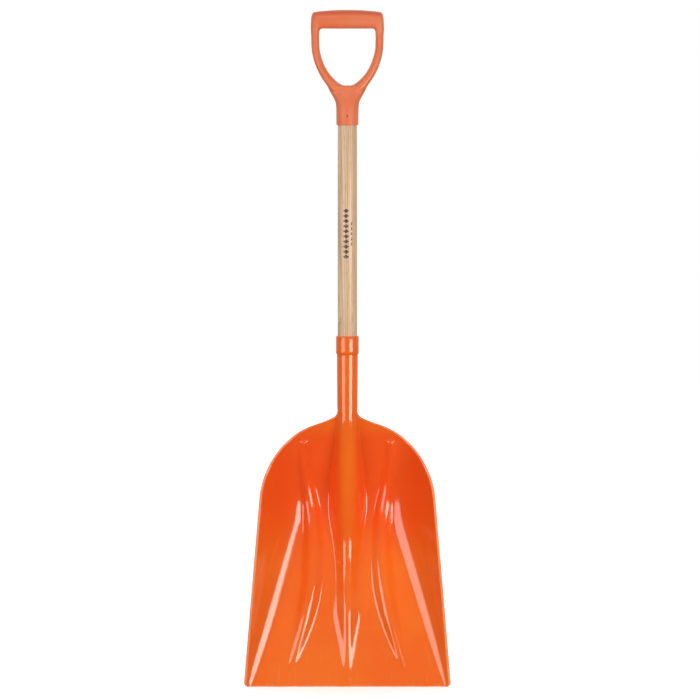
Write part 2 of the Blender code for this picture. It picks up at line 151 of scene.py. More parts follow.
# Neck and ferrule of the grip, as (z, half width, half depth).
GRIP_NECK = (
    (-0.1020, 0.0358, 0.0122),
    (-0.1107, 0.0325, 0.0140),
    (-0.1197, 0.0273, 0.0168),
    (-0.1287, 0.0225, 0.0190),
    (-0.1377, 0.0205, 0.0198),
    (-0.1467, 0.0201, 0.0199),
    (GRIP_MOUTH_Z, 0.0199, 0.0199),
)
LOOP_SECTION_POWER = 2.3
ROUND_POWER = 2.0
GRIP_VOXEL = 0.0009
GRIP_SMOOTHING = 20

# Fasteners.
PIN_Z = -0.1565
PIN_RADIUS = 0.0018
PIN_HALF_LENGTH = 0.0194
PIN_END = ((0.55, 0.0), (0.85, 0.0001), (1.0, 0.0005))  # (share of the radius, distance from the end)
SCREW_LEVELS = {"head_screw_upper": -0.6160, "head_screw_lower": -0.6520}
SCREW_SHANK_RADIUS = 0.0021
SCREW_LENGTH = 0.0220
SCREW_HEAD_RADIUS = 0.0046
SCREW_HEAD_HEIGHT = 0.0026
SCREW_RIM_SHARE = 0.3
SCREW_FLAT_ANGLE = 0.35
SCREW_DOME_POWER = 0.8
SCREW_DOME_POINTS = 9
SCREW_SHANK_SHARE = 0.8
SCREW_POINT_RADIUS = 0.0002
RECESS_TURNS = {"head_screw_upper": math.radians(25), "head_screw_lower": math.radians(60)}
RECESS_HALF_LENGTH = 0.0024
RECESS_HALF_WIDTH = 0.0006
RECESS_DEPTH = 0.0016
RECESS_OVERRUN = 0.0010
FASTENER_STEPS = 48
HOLE_OVERRUN = 0.0100


# ---------------------------------------------------------------- shapes of the scoop

def smooth_curve(points, at):
    """Values of a smooth curve through (position, value) points, level beyond its ends."""
    xs = np.array([p[0] for p in points])
    ys = np.array([p[1] for p in points])
    slopes = np.empty(len(xs))
    slopes[1:-1] = (ys[2:] - ys[:-2]) / (xs[2:] - xs[:-2])
    slopes[0] = (ys[1] - ys[0]) / (xs[1] - xs[0])
    slopes[-1] = (ys[-1] - ys[-2]) / (xs[-1] - xs[-2])
    at = np.clip(at, xs[0], xs[-1])
    i = np.clip(np.searchsorted(xs, at, side="right") - 1, 0, len(xs) - 2)
    step = xs[i + 1] - xs[i]
    t = (at - xs[i]) / step
    return ((2 * t**3 - 3 * t**2 + 1) * ys[i] + (t**3 - 2 * t**2 + t) * step * slopes[i]
            + (3 * t**2 - 2 * t**3) * ys[i + 1] + (t**3 - t**2) * step * slopes[i + 1])


def blend_up(low, high, reach):
    """The larger of two heights, with a fillet where they differ by less than `reach`."""
    t = np.clip((high - low + reach) / (2 * reach), 0, 1)
    return np.where(t >= 1, high, low + 2 * reach * (t**3 - t**4 / 2))


def ease(t):
    """0 to 1 with a soft start and end, held beyond them."""
    t = np.clip(t, 0, 1)
    return t * t * (3 - 2 * t)


def floor_y(z):
    return EDGE_Y + (z - EDGE_Z) * math.tan(LIFT)


def round_roof(offset, radius, flank):
    """Drop below the crest of a ridge with a round top and flanks at the angle `flank`."""
    offset = np.abs(offset)
    tangent = radius * np.sin(flank)
    top = radius - np.sqrt(np.maximum(radius**2 - offset**2, 0))
    side = radius * (1 - np.cos(flank)) + (offset - tangent) * np.tan(flank)
    return np.where(offset <= tangent, top, side)


def dish_y(x, z):
    """Depth of the front face of the scoop at (x, z)."""
    along = z - EDGE_Z
    share = np.clip(along / (SHOULDER_Z - EDGE_Z), 0, 1)
    side_blend = SIDE_BLEND_FRONT + (SIDE_BLEND_BACK - SIDE_BLEND_FRONT) * np.sqrt(share)
    crease = SIDE_CREASE_X - SIDE_CREASE_TAPER * along
    side = SIDE_SLOPE * (np.abs(x) - crease) * math.cos(math.atan(SIDE_CREASE_TAPER))
    back = BACK_SLOPE * (z - BACK_CREASE_Z)
    height = blend_up(0.0, side, side_blend)
    corner = np.minimum(1, np.abs(x) / crease)
    height = blend_up(height, back, BACK_BLEND + (CORNER_BLEND - BACK_BLEND) * corner)
    offset = (np.abs(x) - smooth_curve(SIDE_RIB_PATH, z)) / smooth_curve(SIDE_RIB_WIDTH, z)
    height = height + smooth_curve(SIDE_RIB_HEIGHT, z) * np.maximum(0, 1 - offset**2) ** 2
    floor = floor_y(z)
    roof = round_roof(x, smooth_curve(RIDGE_RADIUS, z), smooth_curve(RIDGE_FLANK, z))
    height = blend_up(height, floor - smooth_curve(RIDGE_CREST, z) - roof, RIDGE_BLEND)
    return floor - height


def cubic(start, toward, back_from, end, t):
    """Point at t on a cubic Bezier curve."""
    weights = ((1 - t)**3, 3 * (1 - t)**2 * t, 3 * (1 - t) * t**2, t**3)
    points = (start, toward, back_from, end)
    return tuple(sum(w * p[i] for w, p in zip(weights, points)) for i in (0, 1))


def flared_half_width(z):
    """Half width of the straight flared sides, carried on upwards."""
    return FRONT_HALF_WIDTH - SIDE_FLARE * (z - EDGE_Z)


def shoulder_point(angle):
    """Point (x, z) of the round shoulder, from its widest point at angle 0."""
    power = 2 / SHOULDER_POWER
    z = SHOULDER_Z + SHOULDER_RISE * math.sin(angle) ** power
    return flared_half_width(z) * math.cos(angle) ** power, z


def rim_point(t):
    """Point (x, z) of the right half of the rim: t 0 to 1 is the flared side, 1 to 2 the shoulder."""
    if t <= 1:
        z = EDGE_Z + t * (SHOULDER_Z - EDGE_Z)
        into_corner = max(0.0, CORNER_RADIUS - (z - EDGE_Z))
        return flared_half_width(z) - CORNER_RADIUS + math.sqrt(CORNER_RADIUS**2 - into_corner**2), z
    x, z = shoulder_point(FLARE_START_ANGLE * min(1.0, (t - 1) / SHOULDER_SHARE))
    if t - 1 <= SHOULDER_SHARE:
        return x, z
    before = shoulder_point(FLARE_START_ANGLE - SLOPE_STEP)
    slope = (z - before[1]) / (x - before[0])
    toward = (x - FLARE_REACH, z - FLARE_REACH * slope)
    back_from = (NECK_HALF_WIDTH, NECK_FILLET_Z)
    return cubic((x, z), toward, back_from, (NECK_HALF_WIDTH, RIM_TOP_Z),
                 (t - 1 - SHOULDER_SHARE) / (1 - SHOULDER_SHARE))


# ---------------------------------------------------------------- the scoop's fine mesh

LOWER_ROWS = 120
UPPER_ROWS = 120
INNER_COLUMNS = 44
OUTER_COLUMNS = 48
OUTER_GRADING = 1.25
EVEN_ROWS_SHARE = 0.35
RIB_SEARCH_STEPS = 20
LIP_SHARES = (0.0, 0.25, 0.5, 0.75, 1.0)
STRIP = ((0.06, 0.55), (0.22, 0.9), (0.5, 1.0), (0.78, 0.9), (0.94, 0.55))  # (through the wall, outward)
STRIP_ANGLE = math.radians(10)
EDGE_FACING_MIN = 0.5
TUBE_RINGS = 20
LIP_END_ROWS = 8
MERGE_DISTANCE = 0.00002


def scoop_rows():
    """(rim point, spine z) of each row of the scoop, from the front edge to the neck."""
    start = EDGE_ROUND / (SHOULDER_Z - EDGE_Z)
    rows = []
    for i in range(LOWER_ROWS + 1):
        t = i / LOWER_ROWS
        graded = EVEN_ROWS_SHARE * t + (1 - EVEN_ROWS_SHARE) * t**2
        rim = rim_point(start + (1 - start) * graded)
        rows.append((rim, rim[1]))
    for i in range(1, UPPER_ROWS + 1):
        t = i / UPPER_ROWS
        rows.append((rim_point(1 + t), SHOULDER_Z + t * (RIM_TOP_Z - SHOULDER_Z)))
    return rows


def rib_share(rim, spine_z):
    """Where a row crosses the side rib, as a share of the way from the spine to the rim."""
    low, high = 0.0, WIDEST_RIB_SHARE
    for _ in range(RIB_SEARCH_STEPS):
        share = (low + high) / 2
        if share * rim[0] < smooth_curve(SIDE_RIB_PATH, spine_z + share * (rim[1] - spine_z)):
            low = share
        else:
            high = share
    return low


def half_row_shares(rim, spine_z):
    """Shares of the columns of half a row: to the crest of the side rib, to the lip, over the lip."""
    rib = rib_share(rim, spine_z)
    length = math.hypot(rim[0], rim[1] - spine_z)
    lip = RIM_LIP * min(1.0, (length - NECK_HALF_WIDTH) / LIP_FADE) + LIP_MIN
    lip_start = 1 - (lip + EDGE_ROUND) / length
    lip_end = 1 - EDGE_ROUND / length
    inner = [rib * i / INNER_COLUMNS for i in range(INNER_COLUMNS)]
    outer = [rib + (lip_start - rib) * (i / OUTER_COLUMNS) ** OUTER_GRADING for i in range(OUTER_COLUMNS)]
    over = [lip_start + (lip_end - lip_start) * s for s in LIP_SHARES]
    return np.array(inner + outer + over), lip_start


def tube_radius(z):
    """Radius of the socket at z, down to where its rounded nose begins."""
    levels = (NOSE_TOP_Z, RIM_TOP_Z, COLLAR_BASE_Z)
    return np.interp(z, levels, (NOSE_RADIUS, NECK_HALF_WIDTH, SOCKET_TOP_RADIUS))


def front_grid(rows):
    """Front face of the scoop as an array of points [row, column, xyz], left to right."""
    grid = []
    for (rim_x, rim_z), spine_z in rows:
        shares, lip_start = half_row_shares((rim_x, rim_z), spine_z)
        toward_tube = ease((spine_z - ROUNDING_Z[0]) / (ROUNDING_Z[1] - ROUNDING_Z[0]))
        round_shares = np.sin(shares * (math.pi / 2 - STRIP_ANGLE)) / math.cos(STRIP_ANGLE) * shares[-1]
        shares = shares + toward_tube * (round_shares - shares)
        x = shares * rim_x
        z = spine_z + shares * (rim_z - spine_z)
        under_lip = np.minimum(shares, lip_start)
        y = dish_y(under_lip * rim_x, spine_z + under_lip * (rim_z - spine_z))
        half = np.stack([x, y, z], axis=1)
        mirrored = half[:0:-1] * (-1, 1, 1)
        grid.append(np.concatenate([mirrored, half]))
    return np.array(grid)


def grid_normals(grid):
    """Unit normals of a grid of points, towards +Y."""
    across = np.gradient(grid, axis=1)
    along = np.gradient(grid, axis=0)
    normals = np.cross(along, across)
    return normals / np.linalg.norm(normals, axis=2, keepdims=True)


def ring_angles(columns):
    """Angle round the tube, from -Y towards +X, of each point of a ring."""
    half = math.pi / 2 - STRIP_ANGLE
    steps = (columns - 1) // 2
    front = np.linspace(-half, half, 2 * steps + 1)
    right = half + 2 * STRIP_ANGLE * np.array([through for through, _ in STRIP])
    return np.concatenate([front, right, math.pi + front, right + math.pi])


def unit(v):
    return v / np.linalg.norm(v)


def tube_ring(radius, z, angles):
    """Points of a level circle round the shaft's axis."""
    return np.stack([radius * np.sin(angles), -radius * np.cos(angles), np.full_like(angles, z)], axis=1)


def scoop_rings():
    """The outside of the head as closed rings: front face, right edge, back face, left edge."""
    rows = scoop_rows()
    front = front_grid(rows)
    normals = grid_normals(front)
    back = front + WALL * normals
    back[0] = front[0]
    back[0, :, 1] += WALL / np.maximum(normals[0, :, 1], EDGE_FACING_MIN)
    radius = tube_radius(back[..., 2])
    into_nose = np.maximum(0, NOSE_TOP_Z - back[..., 2]) * NOSE_RADIUS / NOSE_LENGTH
    reach = np.hypot(back[..., 0], into_nose)
    round_back = np.sqrt(np.maximum(radius**2 - reach**2, 0))
    tube_back = np.where(reach < radius, round_back, NOSE_SKIRT * (radius - reach))
    back[..., 1] = blend_up(back[..., 1], tube_back, TUBE_FILLET)
    angles = ring_angles(front.shape[1])
    rings = []
    for row, (_, spine_z) in enumerate(rows):
        f, b = front[row], back[row]
        right_out = unit(f[-1] - f[-4])
        right = [f[-1] + through * (b[-1] - f[-1]) + out * EDGE_ROUND * right_out for through, out in STRIP]
        left = [p * (-1, 1, 1) for p in reversed(right)]
        ring = np.concatenate([f, right, b[::-1], left])
        share = ease((spine_z - SOCKET_FADE_Z[0]) / (SOCKET_FADE_Z[1] - SOCKET_FADE_Z[0]))
        tube = tube_ring(tube_radius(spine_z), 0, angles)
        tube[:, 2] = ring[:, 2]
        rings.append(ring + share * (tube - ring))
    return rings, angles


def eased(radius, z, corner):
    """Points (radius, z) round one corner of a turned outline."""
    return [(radius + out, z + up) for out, up in corner]


def collar_and_bore():
    """Outline (radius, z) that goes up the collar, over its top and down the tapered bore."""
    height = COLLAR_TOP_Z - COLLAR_BASE_Z
    bore = SHAFT_RADIUS + FIT_GAP
    outline = eased(tube_radius(COLLAR_BASE_Z), COLLAR_BASE_Z, COLLAR_ROOT)
    outline += eased(COLLAR_RADIUS, COLLAR_BASE_Z, COLLAR_LEDGE)
    outline += [(COLLAR_RADIUS, COLLAR_BASE_Z + share * height) for share in COLLAR_SHARES]
    for angle in np.linspace(0, math.pi / 2, COLLAR_ROUND_POINTS):
        outline.append((COLLAR_RADIUS - COLLAR_ROUND * (1 - math.cos(angle)),
                        COLLAR_TOP_Z - COLLAR_ROUND * (1 - math.sin(angle))))
    outline += eased(bore, COLLAR_TOP_Z, BORE_MOUTH)
    outline.append((bore, SHOULDER_TAPER_Z[0] - FIT_GAP))
    outline.append((TAPER_TOP_RADIUS + FIT_GAP, SHOULDER_TAPER_Z[1] - FIT_GAP))
    outline.append((TAPER_END_RADIUS + FIT_GAP, SHAFT_END_Z - FIT_GAP))
    return outline


def ring_faces(rings, size, closed):
    """Quads between successive rings of `size` points; `closed` joins the last to the first."""
    faces = []
    for ring in range(rings if closed else rings - 1):
        above = (ring + 1) % rings
        for i in range(size):
            j = (i + 1) % size
            faces.append((ring * size + i, ring * size + j, above * size + j, above * size + i))
    return faces


def head_mesh():
    """The whole head as one closed mesh: scoop, socket, collar and the bore for the shaft."""
    rings, angles = scoop_rings()
    size = len(angles)
    for i in range(1, TUBE_RINGS + 1):
        z = RIM_TOP_Z + i / TUBE_RINGS * (COLLAR_BASE_Z - SOCKET_TOP_GAP - RIM_TOP_Z)
        rings.append(tube_ring(tube_radius(z), z, angles))
    rings += [tube_ring(radius, z, angles) for radius, z in collar_and_bore()]
    points = np.concatenate(rings)
    faces = ring_faces(len(rings), size, closed=False)
    faces.append(tuple(range(len(points) - size, len(points))))
    faces += edge_cap((size - 2 * len(STRIP)) // 2, size)
    return points, faces, lip_faces(size)


def lip_faces(size):
    """Numbers of the faces along the outer part of the flat lip, left and right."""
    columns = (size - 2 * len(STRIP)) // 2
    rows = LOWER_ROWS + UPPER_ROWS - LIP_END_ROWS
    lip_columns = (0, 1, 2, columns - 4, columns - 3, columns - 2)
    return [row * size + column for row in range(rows) for column in lip_columns]


def edge_cap(columns, size):
    """Faces that close the front edge, joining the first ring's front points to its back points."""
    back = [columns + len(STRIP) + columns - 1 - i for i in range(columns)]
    faces = [(i + 1, i, back[i], back[i + 1]) for i in range(columns - 1)]
    right = list(range(columns - 1, columns + len(STRIP) + 1))
    faces.append(tuple(reversed(right)))
    left = [0] + list(range(size - 1, size - len(STRIP) - 2, -1))
    faces.append(tuple(left))
    return faces


def new_mesh_object(name, points, faces):
    mesh = bpy.data.meshes.new(name)
    mesh.from_pydata([tuple(p) for p in points], [], faces)
    mesh.update()
    obj = bpy.data.objects.new(name, mesh)
    bpy.context.scene.collection.objects.link(obj)
    return obj


def tidy_mesh(obj, sharp_degrees=40):
    """Merges doubled points, turns the faces outwards and shades them smooth."""
    shape = bmesh.new()
    shape.from_mesh(obj.data)
    bmesh.ops.remove_doubles(shape, verts=shape.verts, dist=MERGE_DISTANCE)
    bmesh.ops.recalc_face_normals(shape, faces=shape.faces)
    shape.to_mesh(obj.data)
    shape.free()
    obj.data.shade_smooth()
    obj.data.set_sharp_from_angle(angle=math.radians(sharp_degrees))
    return obj


def evaluated_mesh(obj):
    """The object's mesh with its modifiers applied."""
    mesh = bpy.data.meshes.new_from_object(obj.evaluated_get(bpy.context.evaluated_depsgraph_get()))
    obj.modifiers.clear()
    obj.data = mesh


def cut(obj, *cutters):
    """Cuts the closed cutters out of the object and throws them away."""
    for cutter in cutters:
        modifier = obj.modifiers.new(cutter.name, "BOOLEAN")
        modifier.object = cutter
        modifier.operation = "DIFFERENCE"
        modifier.solver = "EXACT"
    evaluated_mesh(obj)
    for cutter in cutters:
        bpy.data.objects.remove(cutter)


def turned(name, profile, steps=96):
    """A closed solid turned about Z from (radius, z) points, from its top down its outer side."""
    points, faces = [], []
    for radius, z in profile:
        points += [(radius * math.cos(2 * math.pi * i / steps), radius * math.sin(2 * math.pi * i / steps), z)
                   for i in range(steps)]
    for ring in range(len(profile) - 1):
        for i in range(steps):
            j = (i + 1) % steps
            faces.append((ring * steps + j, ring * steps + i, (ring + 1) * steps + i, (ring + 1) * steps + j))
    faces.append(tuple(range(steps)))
    faces.append(tuple(reversed(range((len(profile) - 1) * steps, len(profile) * steps))))
    return new_mesh_object(name, points, faces)


def along_y(obj, z=0.0):
    """Turns a solid made about Z so that its top faces +Y, and lifts it to z."""
    for vertex in obj.data.vertices:
        x, y, up = vertex.co
        vertex.co = (x, up, z - y)
    return obj


def rod_along_y(name, radius, start_y, end_y, z):
    return along_y(turned(name, ((radius, end_y), (radius, start_y)), FASTENER_STEPS), z)


def screw_seat(z):
    """How far behind the shaft's axis the head of a screw sits."""
    return float(tube_radius(z)) + FIT_GAP


def screw_hole(z):
    seat = screw_seat(z)
    deep_end = seat - SCREW_LENGTH - FIT_GAP
    return rod_along_y("hole", SCREW_SHANK_RADIUS + FIT_GAP, deep_end, seat + HOLE_OVERRUN, z)


def pin_hole():
    reach = PIN_HALF_LENGTH + HOLE_OVERRUN
    return rod_along_y("hole", PIN_RADIUS + FIT_GAP, -reach, reach, PIN_Z)


def finish_piece(obj, node, sharp_degrees=40):
    """Tidies a piece and lets it stand in for its CAD node."""
    tidy_mesh(obj, sharp_degrees)
    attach(obj, "root")
    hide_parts(node)
    return obj


def build_head():
    points, faces, lip = head_mesh()
    head = new_mesh_object("scoop_fine", points, faces)
    plain = scoop_plastic("scoop_plastic", *PLAIN_ORANGE, PAINTED_HEEL_SHADE)
    # The lip's lighter orange is a painted highlight along the rim.
    lighter_edge = scoop_plastic("scoop_plastic_lip", *LIP_HIGHLIGHT_ORANGE, 0.0)
    paint((plain, lighter_edge), head)
    for face in lip:
        head.data.polygons[face].material_index = 1
    tidy_mesh(head)
    cut(head, *(screw_hole(z) for z in SCREW_LEVELS.values()))
    return finish_piece(head, "scoop_head", 50)


# ---------------------------------------------------------------- shaft, grip and fasteners

def build_shaft():
    shaft = turned("shaft_fine", (
        (SHAFT_RADIUS - END_CHAMFER, TENON_TOP_Z), (SHAFT_RADIUS, TENON_TOP_Z - END_CHAMFER),
        (SHAFT_RADIUS, SHOULDER_TAPER_Z[0]), (TAPER_TOP_RADIUS, SHOULDER_TAPER_Z[1]),
        (TAPER_END_RADIUS, SHAFT_END_Z + END_CHAMFER), (TAPER_END_RADIUS - END_CHAMFER, SHAFT_END_Z)))
    cut(shaft, pin_hole(), *(screw_hole(z) for z in SCREW_LEVELS.values()))
    return finish_piece(shaft, "shaft")


def section_ring(half_width, half_depth, power, count):
    """Points (across, depth) of a superellipse section, going round once."""
    angles = np.linspace(0, 2 * math.pi, count, endpoint=False)
    across = np.sign(np.cos(angles)) * np.abs(np.cos(angles)) ** (2 / power)
    depth = np.sign(np.sin(angles)) * np.abs(np.sin(angles)) ** (2 / power)
    return half_width * across, half_depth * depth


def between(values, t):
    """Smooth value at t between the second and third of four equally spaced values."""
    a, b, c, d = values
    return 0.5 * (2 * b + (c - a) * t + (2 * a - 5 * b + 4 * c - d) * t**2 + (3 * b - a - 3 * c + d) * t**3)


def unwrapped(stations):
    """The stations with each tilt within half a turn of the one before."""
    out = [list(stations[0])]
    for station in stations[1:]:
        turns = round((station[2] - out[-1][2]) / 360)
        out.append([station[0], station[1], station[2] - 360 * turns, station[3], station[4]])
    return out


def grip_loop(steps=12, size=40):
    """The D of the grip: a closed loft round the hand opening."""
    left = [(-x, z, 180 - tilt, width, depth) for x, z, tilt, width, depth in reversed(GRIP_LOOP[1:-1])]
    stations = list(GRIP_LOOP) + left
    points = []
    for n in range(len(stations)):
        four = unwrapped([stations[(n + k) % len(stations)] for k in (-1, 0, 1, 2)])
        for step in range(steps):
            x, z, tilt, half_width, half_depth = [between(values, step / steps) for values in zip(*four)]
            lean = math.radians(tilt)
            across, depth = section_ring(half_width, half_depth, LOOP_SECTION_POWER, size)
            points += zip(x + across * math.cos(lean), depth, z + across * math.sin(lean))
    return new_mesh_object("grip_fine", points, ring_faces(len(stations) * steps, size, closed=True))


def grip_neck(steps=8, size=64):
    """The web and ferrule under the loop, lofted from flat oval to round."""
    levels = [GRIP_NECK[0], *GRIP_NECK, GRIP_NECK[-1]]
    points = []
    for n in range(1, len(levels) - 2):
        for step in range(steps + (n == len(levels) - 3)):
            four = zip(*levels[n - 1:n + 3])
            z, half_width, half_depth = [between(values, step / steps) for values in four]
            across, depth = section_ring(half_width, half_depth, ROUND_POWER, size)
            points += zip(across, depth, np.full(size, z))
    rings = len(points) // size
    faces = ring_faces(rings, size, closed=False)
    faces.append(tuple(reversed(range(size))))
    faces.append(tuple(range((rings - 1) * size, rings * size)))
    return new_mesh_object("neck", points, faces)


def build_grip():
    """Loop and neck melted into one body with filleted joins, then bored for the shaft and the pin."""
    grip, neck = tidy_mesh(grip_loop()), tidy_mesh(grip_neck())
    both = bmesh.new()
    for obj in (grip, neck):
        both.from_mesh(obj.data)
    both.to_mesh(grip.data)
    both.free()
    bpy.data.objects.remove(neck)
    remesh = grip.modifiers.new("melt", "REMESH")
    remesh.mode = "VOXEL"
    remesh.voxel_size = GRIP_VOXEL
    smooth = grip.modifiers.new("smooth", "SMOOTH")
    smooth.iterations = GRIP_SMOOTHING
    evaluated_mesh(grip)
    bore = turned("bore", ((SHAFT_RADIUS + FIT_GAP, TENON_TOP_Z + FIT_GAP),
                           (SHAFT_RADIUS + FIT_GAP, GRIP_MOUTH_Z - HOLE_OVERRUN)))
    cut(grip, bore, pin_hole())
    return finish_piece(grip, "d_grip", 60)


def build_pin():
    """A plain pin with eased ends."""
    top = [(share * PIN_RADIUS, PIN_HALF_LENGTH - down) for share, down in PIN_END]
    bottom = [(radius, -z) for radius, z in reversed(top)]
    pin = turned("pin_fine", top + bottom, FASTENER_STEPS)
    return finish_piece(along_y(pin, PIN_Z), "grip_pin")


def recess_bar(turn, z, seat):
    """One bar of a screw's cross recess."""
    top = seat + SCREW_HEAD_HEIGHT
    bar = new_mesh_object("recess", *box_mesh(RECESS_HALF_LENGTH, RECESS_HALF_WIDTH,
                                              top - RECESS_DEPTH, top + RECESS_OVERRUN))
    for vertex in bar.data.vertices:
        x, y, up = vertex.co
        vertex.co = (x * math.cos(turn) - y * math.sin(turn), x * math.sin(turn) + y * math.cos(turn), up)
    return along_y(bar, z)


def box_mesh(half_x, half_y, low, high):
    corners = ((-half_x, -half_y), (half_x, -half_y), (half_x, half_y), (-half_x, half_y))
    points = [(x, y, z) for z in (low, high) for x, y in corners]
    return points, [(3, 2, 1, 0), (4, 5, 6, 7), (0, 1, 5, 4), (1, 2, 6, 5), (2, 3, 7, 6), (3, 0, 4, 7)]


def build_screw(node, z):
    """A pan-head screw with a cross recess."""
    seat = screw_seat(z)
    outline = []
    for angle in np.linspace(SCREW_FLAT_ANGLE, math.pi / 2, SCREW_DOME_POINTS):
        radius = SCREW_HEAD_RADIUS * math.sin(angle) ** SCREW_DOME_POWER
        rise = SCREW_RIM_SHARE + (1 - SCREW_RIM_SHARE) * math.cos(angle)
        outline.append((radius, seat + SCREW_HEAD_HEIGHT * rise))
    outline[0] = (outline[0][0], seat + SCREW_HEAD_HEIGHT)
    outline += [(SCREW_HEAD_RADIUS, seat), (SCREW_SHANK_RADIUS, seat),
                (SCREW_SHANK_RADIUS, seat - SCREW_SHANK_SHARE * SCREW_LENGTH),
                (SCREW_POINT_RADIUS, seat - SCREW_LENGTH)]
    screw = along_y(turned(f"{node}_fine", outline, FASTENER_STEPS), z)
    turn = RECESS_TURNS[node]
    cut(screw, recess_bar(turn, z, seat), recess_bar(turn + math.pi / 2, z, seat))
    return finish_piece(screw, node, 35)


# ---------------------------------------------------------------- materials

PLAIN_ORANGE = ((0.96, 0.150, 0.012), (0.98, 0.178, 0.015))
# Lighter orange of the outer lip: a painted highlight along the rim.
LIP_HIGHLIGHT_ORANGE = ((0.95, 0.300, 0.130), (0.97, 0.380, 0.190))
# Share of the painted shade that deepens the heel's orange.
PAINTED_HEEL_SHADE = 0.7

# Mark printed on the shaft.
MARK_SPAN_Z = (-0.4140, -0.3220)
LOZENGE_PITCH = 0.0092
LOZENGE_X = -0.0025
LOZENGE_HALF_WIDTH = 0.0058
LOZENGE_SHARE = 0.46
RULE_X = 0.0075
RULE_HALF_WIDTH = 0.0012
PRINT_EDGE = 0.0001


def add(tree, kind, inputs=None, **settings):
    """A new node with its settings. Each input takes a value, or a socket to be linked."""
    node = tree.nodes.new(kind)
    for key, value in settings.items():
        setattr(node, key, value)
    for key, value in (inputs or {}).items():
        if isinstance(value, bpy.types.NodeSocket):
            tree.links.new(value, node.inputs[key])
        else:
            node.inputs[key].default_value = value
    return node


def principled(name, roughness, **values):
    """A new Principled material, its tree, its shader and the coordinates of the piece in metres."""
    material = bpy.data.materials.new(name)
    material.use_nodes = True
    tree = material.node_tree
    shader = tree.nodes["Principled BSDF"]
    shader.inputs["Roughness"].default_value = roughness
    for key, value in values.items():
        shader.inputs[key.replace("_", " ")].default_value = value
    return material, tree, shader, add(tree, "ShaderNodeTexCoord").outputs["Object"]


def noise(tree, at, scale, detail=2.0, stretch=(1, 1, 1)):
    """Noise with about `scale` grains to the metre, squeezed along each axis by `stretch`."""
    if stretch != (1, 1, 1):
        at = add(tree, "ShaderNodeMapping", {"Vector": at, "Scale": stretch}).outputs[0]
    return add(tree, "ShaderNodeTexNoise", {"Vector": at, "Scale": scale, "Detail": detail}).outputs["Fac"]


def maths(tree, operation, a, b=0.0):
    return add(tree, "ShaderNodeMath", {0: a, 1: b}, operation=operation).outputs[0]


def times(tree, a, b):
    return maths(tree, "MULTIPLY", a, b)


def distance(tree, a, b):
    return maths(tree, "ABSOLUTE", maths(tree, "SUBTRACT", a, b))


def spread(tree, value, low, high, to_low=0.0, to_high=1.0):
    """The value's range low to high, stretched to another range and held at its ends."""
    inputs = {"Value": value, "From Min": low, "From Max": high, "To Min": to_low, "To Max": to_high}
    return add(tree, "ShaderNodeMapRange", inputs, interpolation_type="SMOOTHSTEP").outputs[0]


def mixed(tree, share, a, b):
    """A colour from a to b. Each of them is an (r, g, b) or a socket."""
    a, b = ((*c, 1) if isinstance(c, tuple) else c for c in (a, b))
    return add(tree, "ShaderNodeMix", {"Factor": share, "A": a, "B": b}, data_type="RGBA").outputs["Result"]


def bumped(tree, shader, height, depth):
    """Gives the shader a relief of about `depth` metres."""
    bump = add(tree, "ShaderNodeBump", {"Height": height, "Distance": depth})
    tree.links.new(bump.outputs[0], shader.inputs["Normal"])


def coloured(tree, shader, colour):
    tree.links.new(colour, shader.inputs["Base Color"])


def roughened(tree, shader, roughness):
    tree.links.new(roughness, shader.inputs["Roughness"])


def part_of(tree, at, axis):
    return add(tree, "ShaderNodeSeparateXYZ", {0: at}).outputs[axis]


def scoop_plastic(name, dark, light, heel_shade):
    """Glossy moulded orange with painted shade, a deeper red-orange inside the heel: uneven pigment, orange
    peel, a scuffed front edge.
    """
    material, tree, shader, at = principled(name, 0.08)
    x, up = part_of(tree, at, "X"), part_of(tree, at, "Z")
    pigment = mixed(tree, spread(tree, noise(tree, at, 7, 4), 0.35, 0.65), dark, light)
    fleck = spread(tree, noise(tree, at, 1400, 1), 0.55, 0.75)
    pigment = mixed(tree, times(tree, fleck, 0.10), pigment, (0.95, 0.24, 0.06))

    off_ridge = spread(tree, maths(tree, "ABSOLUTE", x), 0.010, 0.026)
    normal = add(tree, "ShaderNodeTexCoord").outputs["Normal"]
    inside = times(tree, off_ridge, spread(tree, part_of(tree, normal, "Y"), 0.1, -0.3))
    # Painted shade: a deeper red-orange on the front faces of the heel, off the ridge, where the back wall
    # faces down.
    heel_shade_area = times(tree, spread(tree, up, -0.98, -0.84), spread(tree, up, -0.705, -0.745, 0.0, heel_shade))
    pigment = mixed(tree, times(tree, heel_shade_area, inside), pigment, (0.97, 0.088, 0.014))

    near_edge = spread(tree, up, EDGE_Z + 0.11, EDGE_Z, 0.12, 1.0)
    strokes = spread(tree, noise(tree, at, 60, 5, (6, 1, 0.35)), 0.60, 0.70)
    scuffed = times(tree, strokes, near_edge)
    at_edge = spread(tree, up, EDGE_Z + 0.006, EDGE_Z)
    lighter_edge = times(tree, at_edge, spread(tree, noise(tree, at, 90, 4), 0.35, 0.6))
    worn = maths(tree, "MAXIMUM", times(tree, scuffed, 0.22), times(tree, lighter_edge, 0.6))
    coloured(tree, shader, mixed(tree, worn, pigment, (0.93, 0.36, 0.19)))

    gloss = spread(tree, noise(tree, at, 30, 4), 0.3, 0.7, 0.055, 0.10)
    roughened(tree, shader, maths(tree, "ADD", gloss, times(tree, worn, 0.45)))
    peel = noise(tree, at, 330, 2)
    bumped(tree, shader, maths(tree, "SUBTRACT", peel, times(tree, scuffed, 0.8)), 0.00006)
    return material


